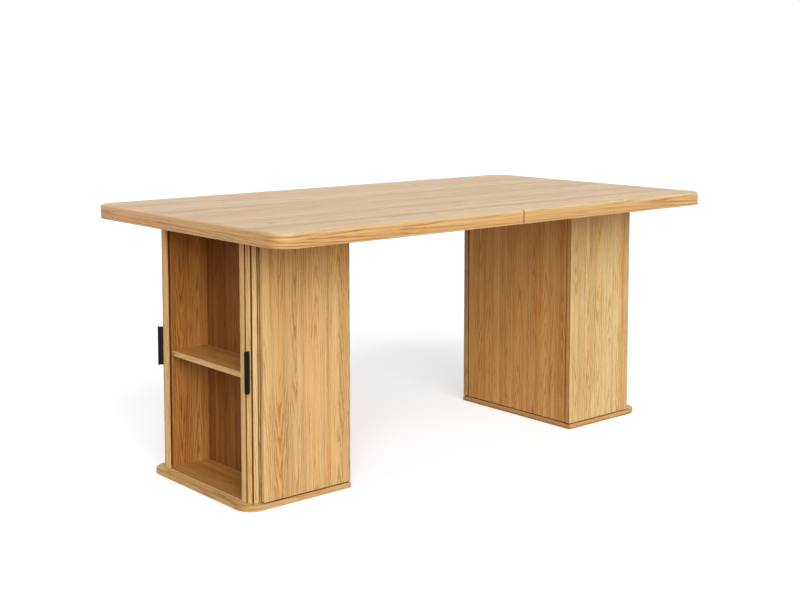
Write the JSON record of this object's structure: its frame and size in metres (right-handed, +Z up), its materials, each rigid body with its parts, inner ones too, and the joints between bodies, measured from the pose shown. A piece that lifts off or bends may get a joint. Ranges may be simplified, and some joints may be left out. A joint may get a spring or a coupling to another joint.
{
  "type": "kitchen table with storage cabinets",
  "caption": "Dining table with a rounded rectangular oak top on end cabinets, each with a shelf space closed by sliding curtain doors with black pulls.",
  "frame": {"origin": "on the floor, under the centre of the table", "axes": "+X along the table towards the cabinet whose doors are shut, +Y away from the side that faces the viewer, +Z up"},
  "size_m": [1.69, 0.946, 0.765],
  "materials": {
    "oak_tabletop": "satin oak, grain along the table",
    "oak_panel": "satin oak, upright grain",
    "oak_board": "satin oak, grain across the cabinet",
    "oak_inside": "satin oak, upright grain",
    "oak_shelf": "satin oak, grain across the cabinet",
    "oak_slat": "satin oak, upright grain",
    "oak_beam": "satin oak, grain along the beam",
    "beech_dowel": "plain beech, fluted",
    "black_pull": "matt black powder coat",
    "zinc_screw": "zinc plated",
    "zinc_plate": "zinc plated sheet",
    "nickel_pin": "nickel plated",
    "brown_canvas": "plain woven canvas",
    "grey_glide": "moulded plastic"
  },
  "bodies": {
    "root": {"beam_screws": "zinc_screw", "joining_plate_screws": "zinc_screw", "joining_plates": "zinc_plate", "left_back_panel": "oak_panel", "left_base_board": "oak_board", "left_cabinet_screws": "zinc_screw", "left_far_curtain_canvas": "brown_canvas", "left_far_curtain_slats": "oak_slat", "left_far_inner_side": "oak_inside", "left_far_side": "oak_panel", "left_fixing_screws": "zinc_screw", "left_glides": "grey_glide", "left_near_curtain_canvas": "brown_canvas", "left_near_curtain_slats": "oak_slat", "left_near_inner_side": "oak_inside", "left_near_side": "oak_panel", "left_partition": "oak_inside", "left_shelf": "oak_shelf", "left_shelf_pins": "nickel_pin", "left_top_board": "oak_board", "right_back_panel": "oak_panel", "right_base_board": "oak_board", "right_cabinet_screws": "zinc_screw", "right_far_curtain_canvas": "brown_canvas", "right_far_curtain_slats": "oak_slat", "right_far_inner_side": "oak_inside", "right_far_side": "oak_panel", "right_fixing_screws": "zinc_screw", "right_glides": "grey_glide", "right_near_curtain_canvas": "brown_canvas", "right_near_curtain_slats": "oak_slat", "right_near_inner_side": "oak_inside", "right_near_side": "oak_panel", "right_partition": "oak_inside", "right_shelf": "oak_shelf", "right_shelf_pins": "nickel_pin", "right_top_board": "oak_board", "seam_dowels": "beech_dowel", "support_beam_far": "oak_beam", "support_beam_near": "oak_beam", "tabletop_left": "oak_tabletop", "tabletop_right": "oak_tabletop"},
    "left_near_lead": {"left_near_lead_rail": "oak_slat"},
    "left_near_grip": {"left_near_grip_slat": "oak_slat", "left_near_pull": "black_pull", "left_near_pull_screws": "zinc_screw"},
    "left_far_lead": {"left_far_lead_rail": "oak_slat"},
    "left_far_grip": {"left_far_grip_slat": "oak_slat", "left_far_pull": "black_pull", "left_far_pull_screws": "zinc_screw"},
    "right_near_lead": {"right_near_lead_rail": "oak_slat"},
    "right_near_grip": {"right_near_grip_slat": "oak_slat", "right_near_pull": "black_pull", "right_near_pull_screws": "zinc_screw"},
    "right_far_lead": {"right_far_lead_rail": "oak_slat"},
    "right_far_grip": {"right_far_grip_slat": "oak_slat", "right_far_pull": "black_pull", "right_far_pull_screws": "zinc_screw"}
  },
  "joints": [
    {"name": "left_near_door_slide", "type": "slide", "parent": "root", "child": "left_near_lead", "axis": [0, 1, 0], "range_m": [0, 0.18564], "deforming": ["left_near_curtain_slats", "left_near_curtain_canvas"]},
    {"name": "left_near_grip_turn", "type": "hinge", "parent": "left_near_lead", "child": "left_near_grip", "pos_m": [-0.765, -0.20814, 0.363], "axis": [0, 0, -1], "range_deg": [0, 35.21]},
    {"name": "left_far_door_slide", "type": "slide", "parent": "root", "child": "left_far_lead", "axis": [0, -1, 0], "range_m": [0, 0.18564], "deforming": ["left_far_curtain_slats", "left_far_curtain_canvas"]},
    {"name": "left_far_grip_turn", "type": "hinge", "parent": "left_far_lead", "child": "left_far_grip", "pos_m": [-0.765, 0.20814, 0.363], "axis": [0, 0, 1], "range_deg": [0, 35.21]},
    {"name": "right_near_door_slide", "type": "slide", "parent": "root", "child": "right_near_lead", "axis": [0, -1, 0], "range_m": [0, 0.18564], "deforming": ["right_near_curtain_slats", "right_near_curtain_canvas"]},
    {"name": "right_near_grip_turn", "type": "hinge", "parent": "right_near_lead", "child": "right_near_grip", "pos_m": [0.765, -0.0225, 0.363], "axis": [0, 0, -1], "range_deg": [0, 35.21]},
    {"name": "right_far_door_slide", "type": "slide", "parent": "root", "child": "right_far_lead", "axis": [0, 1, 0], "range_m": [0, 0.18564], "deforming": ["right_far_curtain_slats", "right_far_curtain_canvas"]},
    {"name": "right_far_grip_turn", "type": "hinge", "parent": "right_far_lead", "child": "right_far_grip", "pos_m": [0.765, 0.0225, 0.363], "axis": [0, 0, 1], "range_deg": [0, 35.21]}
  ],
  "couplings": [
    {"joint": "left_near_grip_turn", "follows": "left_near_door_slide", "rad_per_m": 3.3105},
    {"joint": "left_far_grip_turn", "follows": "left_far_door_slide", "rad_per_m": 3.3105},
    {"joint": "right_near_grip_turn", "follows": "right_near_door_slide", "rad_per_m": 3.3105},
    {"joint": "right_far_grip_turn", "follows": "right_far_door_slide", "rad_per_m": 3.3105}
  ]
}
